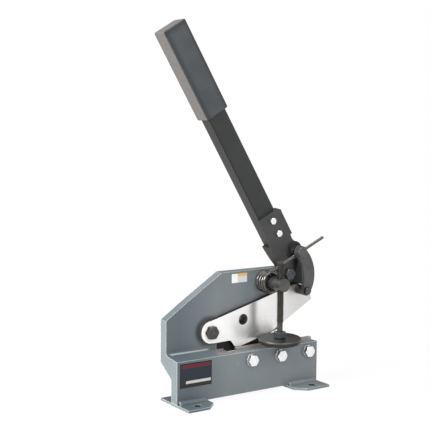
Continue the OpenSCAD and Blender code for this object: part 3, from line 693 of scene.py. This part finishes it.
def blued_steel():
    mat, shader, nodes, links = new_material("blued_steel", PIN_BLUE, 0.5, 0.34)
    cloud = object_noise(nodes, links, 260.0, 3.0)
    face = two_tones(nodes, links, cloud, PIN_DARK, PIN_BLUE)
    # Painted shade: the faces that don't look front or back are darker.
    links.new(blended(nodes, links, facing_along(nodes, links, "Y", 0.40, 0.80), PIN_SIDE_SHADE, face),
              shader.inputs["Base Color"])
    roughness_drift(nodes, links, shader, cloud, 0.26, 0.42)
    return mat


forged = forged_black()
pin_steel = blued_steel()
dress("lever_head", forged, 0.0012, 3)
dress("lever_pivot_bolt", pin_steel, 0.0004, 2, 20)
dress("lever_pivot_nut", pin_steel, 0.0004, 2, 20)

# Links: two bowed bars cut from plate, the front one painted grey with painted shade on the boss
# behind its lower eye and the rear one black, with bolts as pins and a flanged bush on the upper
# one. The black of the rear link and the bush is painted shade between the parts.
LINK_BLACK = (0.066, 0.066, 0.066, 1.0)
LINK_GREY = (0.090, 0.090, 0.089, 1.0)
BOSS_SHADE = (0.022, 0.022, 0.022, 1.0)
BOSS_SHADE_Y = (0.0016, 0.020)


def link_steel():
    mat, shader, nodes, links = new_material("link_steel", LINK_GREY, 0.4, 0.36)
    cloud = object_noise(nodes, links, 60.0, 3.0)
    # Painted shade: the boss behind the lower eye is dark.
    boss_shade = between(nodes, links, object_axes(nodes, links)["Y"], *BOSS_SHADE_Y)
    links.new(blended(nodes, links, boss_shade, two_tones(nodes, links, cloud, LINK_BLACK, LINK_GREY),
                      BOSS_SHADE), shader.inputs["Base Color"])
    roughness_drift(nodes, links, shader, cloud, 0.28, 0.42)
    return mat


link_black = link_steel()
dress("front_link", link_black, 0.0009, 2)
# Painted shade: the rear link and the bush take the black finish as shade between the parts.
dress("rear_link", oxide_and_shade, 0.0009, 2)
dress("link_spacer", oxide_and_shade, 0.0003, 1)
dress("upper_link_bolt", link_black, 0.0003, 2, 20)
for part in ("upper_link_nut", "lower_link_screw", "lower_link_nut"):
    dress(part, pin_steel, 0.0003, 2, 20)

# Handle tube: a flat rectangular steel tube in satin black paint, held on the web of the head
# by two zinc-plated bolts. Painted shade darkens its left side and draws a dark line on its front
# along the corner with the left side.
TUBE_BLACK = (0.023, 0.026, 0.0255, 1.0)
TUBE_GREY = (0.029, 0.032, 0.0315, 1.0)
TUBE_LEFT_SHADE = (0.019, 0.019, 0.018, 1.0)
TUBE_CORNER_SHADE = (0.005, 0.005, 0.005, 1.0)
LEVER_ACROSS = (0.854, 0.0, 0.520)
LEVER_UP = (-0.520, 0.0, 0.854)
TUBE_SHADE_EDGE, TUBE_SHADE_LINE = (0.1722, 0.1700), 0.9


def tube_paint():
    mat, shader, nodes, links = new_material("tube_paint", TUBE_BLACK, 0.0, 0.42)
    shader.inputs["Specular IOR Level"].default_value = 0.3
    cloud = object_noise(nodes, links, 22.0, 3.0)
    paint = two_tones(nodes, links, cloud, TUBE_BLACK, TUBE_GREY)
    # Painted shade: the faces that look left are darker.
    left = rising(nodes, links, object_axes(nodes, links, "Normal")["X"], -0.5, -0.8)
    paint = blended(nodes, links, left, paint, TUBE_LEFT_SHADE)
    # Painted shade: a dark line on the front along the corner with the left side.
    line = product(nodes, links, facing_along(nodes, links, "Y", 0.05, 0.3),
                   rising(nodes, links, along_way(nodes, links, LEVER_ACROSS), *TUBE_SHADE_EDGE, TUBE_SHADE_LINE))
    links.new(blended(nodes, links, line, paint, TUBE_CORNER_SHADE), shader.inputs["Base Color"])
    relief(nodes, links, shader, object_noise(nodes, links, 300.0, 2.0), 0.06, 0.0003)
    return mat


dress("handle_tube", tube_paint(), 0.0014, 3)
dress("handle_bolts", zinc, 0.0003, 2, 20)
dress("handle_nuts", zinc, 0.0003, 2, 20)

# Grip: a moulded sleeve of firm blue-grey rubber pushed over the end of the tube, with flat
# faces, tight corners and a fine grain. Painted light makes its left side and end paler, and
# painted shade draws darker lines along its corners.
GRIP_BLUE = (0.050, 0.056, 0.061, 1.0)
GRIP_PALE = (0.062, 0.068, 0.073, 1.0)
GRIP_SIDE_LIGHT = (0.112, 0.105, 0.099, 1.0)
GRIP_CORNER_SHADE = (0.021, 0.024, 0.025, 1.0)
GRIP_SHADE_EDGES = [(LEVER_ACROSS, 0.1758, 0.1668), (LEVER_ACROSS, 0.1990, 0.2070),
              (LEVER_UP, 0.5400, 0.5500)]
GRIP_REAR_SHADE_Y = (0.0405, 0.0425)
GRIP_SHADE_LINE = 0.8


def grip_rubber():
    mat, shader, nodes, links = new_material("grip_rubber", GRIP_BLUE, 0.0, 0.5)
    shader.inputs["Specular IOR Level"].default_value = 0.3
    cloud = object_noise(nodes, links, 30.0, 3.0)
    rubber = two_tones(nodes, links, cloud, GRIP_BLUE, GRIP_PALE)
    # Painted light: the faces that look left, with the end, are paler.
    side = rising(nodes, links, object_axes(nodes, links, "Normal")["X"], -0.30, -0.50)
    rubber = blended(nodes, links, side, rubber, GRIP_SIDE_LIGHT)
    # Painted shade: dark lines on the front along its corners.
    front = facing_along(nodes, links, "Y", 0.15, 0.5)
    for way, inner, outer in GRIP_SHADE_EDGES:
        line = product(nodes, links, front,
                       rising(nodes, links, along_way(nodes, links, way), inner, outer, GRIP_SHADE_LINE))
        rubber = blended(nodes, links, line, rubber, GRIP_CORNER_SHADE)
    # Painted shade: a dark line at the rear corner of the pale left side.
    rear = product(nodes, links, side,
                   rising(nodes, links, object_axes(nodes, links)["Y"], *GRIP_REAR_SHADE_Y, GRIP_SHADE_LINE))
    links.new(blended(nodes, links, rear, rubber, GRIP_CORNER_SHADE), shader.inputs["Base Color"])
    relief(nodes, links, shader, object_noise(nodes, links, 420.0, 2.0), 0.14, 0.0003)
    return mat


dress("grip", grip_rubber(), 0.0, 2)

# Hold-down arm: a turned bar through the plate with a nut behind it. The hold-down screw runs
# through its front end.
ARM_GREY = (0.112, 0.112, 0.106, 1.0)
ARM_DARK = (0.084, 0.084, 0.079, 1.0)


def turned_steel():
    mat, shader, nodes, links = new_material("turned_steel", ARM_GREY, 0.75, 0.26)
    grain = object_noise(nodes, links, 260.0, 2.0, (0.2, 1.0, 0.2))
    links.new(two_tones(nodes, links, grain, ARM_DARK, ARM_GREY), shader.inputs["Base Color"])
    roughness_drift(nodes, links, shader, grain, 0.18, 0.32)
    return mat


turned = turned_steel()
dress("hold_down_arm", turned, 0.0011, 3)
dress("arm_nut", bolt_steel, 0.0004, 2, 20)

# Hold-down screw: a dark steel rod with a cut thread, a plain neck below it and a turned tip on
# top. The thread is a real helix with the crests and roots of a coarse metric thread.
SCREW_X, SCREW_Y = 0.1833, -0.012
SCREW_D = 0.011
SCREW_PITCH = 0.00175
THREAD_DEPTH = 0.00105
NECK_D = 0.009
NECK_FROM, THREAD_FROM, THREAD_TO, SCREW_TOP = 0.08415, 0.1125, 0.206, 0.211
TIP_D = 0.008
THREAD_SIDES = 32
SCREW_DARK = (0.052, 0.046, 0.041, 1.0)
SCREW_BROWN = (0.096, 0.084, 0.074, 1.0)


def add_rod(bm, foot, length, radius, sides=32, chamfer=0.0):
    """A closed round rod upwards from its foot, with a chamfer at the top."""
    body = length - chamfer
    bmesh.ops.create_cone(bm, cap_ends=True, segments=sides, radius1=radius, radius2=radius, depth=body,
                          matrix=Matrix.Translation(foot + Vector((0.0, 0.0, body / 2))))
    if chamfer > 0:
        bmesh.ops.create_cone(bm, cap_ends=True, segments=sides, radius1=radius,
                              radius2=radius - chamfer, depth=chamfer,
                              matrix=Matrix.Translation(foot + Vector((0.0, 0.0, body + chamfer / 2))))


def thread_of(middle, bottom, top, radius, pitch, depth, sides):
    """A helical thread between two heights, made by spinning one tooth round and upwards."""
    bm = bmesh.new()
    turns = int((top - bottom) / pitch) + 3
    x, y = middle
    tooth = [(radius - depth, 0.0), (radius - depth, 0.22), (radius, 0.44), (radius, 0.60),
             (radius - depth, 0.82), (radius - depth, 1.0)]
    start = bottom - 1.5 * pitch
    verts = [bm.verts.new((x + r, y, start + share * pitch)) for r, share in tooth]
    edges = [bm.edges.new((a, b)) for a, b in zip(verts, verts[1:])]
    bmesh.ops.spin(bm, geom=verts + edges, cent=(x, y, start), axis=(0.0, 0.0, 1.0),
                   dvec=(0.0, 0.0, pitch / sides), angle=2 * pi * turns, steps=sides * turns,
                   use_merge=False, use_duplicate=False)
    bmesh.ops.remove_doubles(bm, verts=bm.verts, dist=0.00001)
    for level, side in ((bottom, -1.0), (top, 1.0)):
        bmesh.ops.bisect_plane(bm, geom=list(bm.verts) + list(bm.edges) + list(bm.faces),
                               dist=0.0000001, plane_co=(x, y, level), plane_no=(0.0, 0.0, side),
                               clear_outer=True)
    return bm


def screw_steel():
    mat, shader, nodes, links = new_material("screw_steel", SCREW_BROWN, 0.85, 0.24)
    cloud = object_noise(nodes, links, 160.0, 3.0)
    links.new(two_tones(nodes, links, cloud, SCREW_DARK, SCREW_BROWN), shader.inputs["Base Color"])
    roughness_drift(nodes, links, shader, cloud, 0.16, 0.28)
    return mat


bm = thread_of(from_wall(SCREW_X, SCREW_Y, 0.0)[:2], THREAD_FROM, THREAD_TO, SCREW_D / 2, SCREW_PITCH,
               THREAD_DEPTH, THREAD_SIDES)
add_rod(bm, from_wall(SCREW_X, SCREW_Y, NECK_FROM), THREAD_FROM - NECK_FROM + 0.0005, NECK_D / 2)
add_rod(bm, from_wall(SCREW_X, SCREW_Y, THREAD_TO - 0.0005), SCREW_TOP - THREAD_TO + 0.0005, TIP_D / 2,
        32, 0.0008)
screw = piece_from(bm, "hold_down_screw", screw_steel())
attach(screw, "screw")
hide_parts("spindle")

# Pressure disc: a turned and blackened steel disc under a hexagon hub, loose on the neck of the
# screw, so that it hangs a little out of level. Its top chamfer carries a painted highlight, a lighter
# line.
DISC_GREY = (0.033, 0.033, 0.030, 1.0)
DISC_DARK = (0.025, 0.0235, 0.022, 1.0)
DISC_RIM_HIGHLIGHT = (0.076, 0.074, 0.070, 1.0)
DISC_PROFILE = [(0.0, 0.0800), (0.0330, 0.0800), (0.0337, 0.0808), (0.0337, 0.0869),
                (0.0332, 0.08755), (0.0049, 0.08755), (0.0049, 0.0838), (0.0, 0.0838)]
DISC_SIDES = 72
DISC_MIDDLE_Z = 0.084
DISC_LEAN = radians(2.4)
DISC_LEAN_AXIS = (0.83, -0.55, 0.0)


def disc_steel():
    mat, shader, nodes, links = new_material("disc_steel", DISC_GREY, 0.45, 0.36)
    shader.inputs["Specular IOR Level"].default_value = 0.15
    cloud = object_noise(nodes, links, 50.0, 4.0)
    steel = two_tones(nodes, links, cloud, DISC_DARK, DISC_GREY)
    # Painted highlight: the slanted top chamfer is lighter.
    slant = between(nodes, links, object_axes(nodes, links, "Normal")["Z"], 0.12, 0.96)
    links.new(blended(nodes, links, slant, steel, DISC_RIM_HIGHLIGHT), shader.inputs["Base Color"])
    roughness_drift(nodes, links, shader, cloud, 0.30, 0.46)
    return mat


disc_black = disc_steel()
bm = bmesh.new()
disc_middle = from_wall(SCREW_X, SCREW_Y, 0.0)
verts = [bm.verts.new(disc_middle + Vector((r, 0.0, z))) for r, z in DISC_PROFILE]
edges = [bm.edges.new((a, b)) for a, b in zip(verts, verts[1:])]
bmesh.ops.spin(bm, geom=verts + edges, cent=disc_middle, axis=(0.0, 0.0, 1.0), angle=2 * pi,
               steps=DISC_SIDES, use_merge=True, use_duplicate=False)
bmesh.ops.rotate(bm, verts=bm.verts, cent=disc_middle + Vector((0.0, 0.0, DISC_MIDDLE_Z)),
                 matrix=Matrix.Rotation(DISC_LEAN, 3, Vector(DISC_LEAN_AXIS)))
disc = piece_from(bm, "pressure_disc", disc_black)
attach(disc, "foot")
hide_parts("pressure_foot")
dress("spindle_hub", pin_steel, 0.0006, 2)

# Return spring: a round blackened wire wound round the arm. Its short end is hooked into the
# plate, and its long leg runs under the upper pin of the links. The coil opens out into the leg
# and winds up from its hooked end to its front turn as the leg is pushed down.
WIRE_D = 0.0049
COIL_R = 0.0158
ARM_X, ARM_Z = 0.1833, 0.1728
COIL_REAR, COIL_FRONT = 0.0292, 0.0076
LOWER_LEG_ANGLE = -12.8
LOWER_LEG_LEN = 0.015
BEND_R = 0.0028
ANCHOR_DEPTH = 0.006
LEG_ANGLE = 22.93
LEG_LEN = 0.125
LEG_LEAN = 0.06
LEG_CHAMFER = 0.0006
FULL_TURNS = 3
WIRE_SIDES = 20
RISE, RISE_STEPS = 0.0024, 12
COIL_STEP = 7.5
WIRE_GREY = (0.140, 0.133, 0.122, 1.0)
WIRE_DARK = (0.095, 0.089, 0.082, 1.0)


def direction(angle):
    """A unit direction in the plane of the coil, turned from +X towards +Z."""
    return Vector((cos(radians(angle)), 0.0, sin(radians(angle))))


def open_end(made):
    """The open loop of edges and the points that a spin leaves."""
    last = made["geom_last"]
    return [g for g in last if isinstance(g, bmesh.types.BMEdge)], \
        [g for g in last if isinstance(g, bmesh.types.BMVert)]


def spring_steel():
    mat, shader, nodes, links = new_material("spring_steel", WIRE_GREY, 0.8, 0.26)
    cloud = object_noise(nodes, links, 200.0, 2.0)
    links.new(two_tones(nodes, links, cloud, WIRE_DARK, WIRE_GREY), shader.inputs["Base Color"])
    roughness_drift(nodes, links, shader, cloud, 0.18, 0.30)
    return mat


wire_steel = spring_steel()
arm_middle = from_wall(ARM_X, COIL_REAR, ARM_Z)
coil_start = LOWER_LEG_ANGLE + 270
coil_end = LEG_ANGLE + 90
turn_angle = 360 * FULL_TURNS + coil_start - coil_end
leg_way = direction(LOWER_LEG_ANGLE)
bend_middle = (arm_middle + COIL_R * direction(coil_start) + (LOWER_LEG_LEN - BEND_R) * leg_way
               + Vector((0.0, BEND_R, 0.0)))
hook = bend_middle + BEND_R * leg_way + Vector((0.0, ANCHOR_DEPTH, 0.0))
bm = bmesh.new()
bmesh.ops.create_circle(bm, segments=WIRE_SIDES, radius=WIRE_D / 2,
                        matrix=Matrix.Translation(hook) @ Matrix.Rotation(pi / 2, 4, "X"))
edges, verts = pull(bm, list(bm.edges), Vector((0.0, -ANCHOR_DEPTH, 0.0)))
edges, verts = open_end(bmesh.ops.spin(
    bm, geom=edges + verts, cent=bend_middle, axis=leg_way.cross(Vector((0.0, 1.0, 0.0))),
    angle=-pi / 2, steps=8, use_duplicate=False))
edges, verts = pull(bm, edges, (BEND_R - LOWER_LEG_LEN) * leg_way)
coil_steps = round(turn_angle / COIL_STEP)
step_angle = turn_angle / coil_steps
turned_so_far = 0.0
for steps in [coil_steps - RISE_STEPS] + [1] * RISE_STEPS:
    edges, verts = open_end(bmesh.ops.spin(
        bm, geom=edges + verts, cent=arm_middle, axis=(0.0, 1.0, 0.0),
        angle=radians(step_angle) * steps, dvec=(0.0, (COIL_FRONT - COIL_REAR) / coil_steps, 0.0),
        steps=steps, use_duplicate=False))
    turned_so_far += step_angle * steps
    if steps == 1:
        bmesh.ops.translate(bm, verts=verts, vec=RISE / RISE_STEPS * direction(coil_start - turned_so_far))
coil = piece_from(bm, "spring_coil_wire", wire_steel)
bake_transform(coil)
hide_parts("spring_coil")

leg_foot = from_wall(ARM_X, COIL_FRONT, ARM_Z) + (COIL_R + RISE) * direction(coil_end)
leg_run = direction(LEG_ANGLE) + Vector((0.0, LEG_LEAN, 0.0))
bm = bmesh.new()
bmesh.ops.create_circle(
    bm, segments=WIRE_SIDES, radius=WIRE_D / 2,
    matrix=Matrix.Translation(leg_foot) @ Matrix.Rotation(radians(-LEG_ANGLE), 4, "Y")
    @ Matrix.Rotation(pi / 2, 4, "Y"))
edges, verts = pull(bm, list(bm.edges), (LEG_LEN - LEG_CHAMFER) * leg_run)
edges, verts = pull(bm, edges, LEG_CHAMFER * leg_run)
swell(bm, verts, leg_foot + LEG_LEN * leg_run, 1 - 2 * LEG_CHAMFER / WIRE_D)
leg = piece_from(bm, "spring_leg_wire", wire_steel)
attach(leg, "spring_arm")
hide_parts("spring_leg")

# Data plate and label: a thin anodised plate on the wall with a dark-red stripe and a pale bar,
# and a printed label on the upper plate. Both are left plain.
PLATE_X, PLATE_Z, PLATE_W, PLATE_H = 0.0055, 0.0285, 0.0565, 0.037
LABEL_X, LABEL_Z, LABEL_W, LABEL_H = 0.1204, 0.174, 0.0295, 0.0144
PLATE_DARK = (0.020, 0.028, 0.038, 1.0)
PLATE_BLACK = (0.009, 0.010, 0.012, 1.0)
PLATE_RED = (0.118, 0.016, 0.030, 1.0)
PLATE_PALE = (0.50, 0.50, 0.49, 1.0)
PLATE_BROWN = (0.027, 0.025, 0.022, 1.0)
LABEL_WHITE = (0.80, 0.80, 0.79, 1.0)
LABEL_AMBER = (0.72, 0.42, 0.11, 1.0)
LABEL_GREY = (0.60, 0.60, 0.61, 1.0)


def printed_fields(name, ground, fields, corner, width, height, roughness):
    """A flat colour with plain rectangles on it, given as shares of the plate."""
    mat, shader, nodes, links = new_material(name, ground, 0.0, roughness)
    shader.inputs["Specular IOR Level"].default_value = 0.2
    axes = object_axes(nodes, links)
    colour = ground
    for x0, x1, z0, z1, tone in fields:
        inside = product(nodes, links,
                         between(nodes, links, axes["X"], corner[0] + x0 * width, corner[0] + x1 * width),
                         between(nodes, links, axes["Z"], corner[2] + z0 * height, corner[2] + z1 * height))
        colour = blended(nodes, links, inside, colour, tone)
    links.new(colour, shader.inputs["Base Color"])
    roughness_drift(nodes, links, shader, object_noise(nodes, links, 90.0, 2.0), roughness - 0.06,
                    roughness + 0.08)
    return mat


data_print = printed_fields(
    "data_plate_print", PLATE_BLACK,
    [(0.02, 0.98, 0.03, 0.97, PLATE_DARK), (0.02, 0.98, 0.03, 0.33, PLATE_BROWN),
     (0.05, 0.95, 0.80, 0.945, PLATE_RED), (0.18, 0.97, 0.160, 0.275, PLATE_PALE)],
    from_wall(PLATE_X, 0.0, PLATE_Z), PLATE_W, PLATE_H, 0.34)
label_print = printed_fields(
    "label_print", LABEL_GREY,
    [(0.0, 0.38, 0.0, 1.0, LABEL_WHITE), (0.38, 1.0, 0.70, 1.0, LABEL_AMBER)],
    from_wall(LABEL_X, 0.0, LABEL_Z), LABEL_W, LABEL_H, 0.40)
dress("data_plate", data_print, 0.00015, 1)
dress("plate_label", label_print, 0.0, 1)
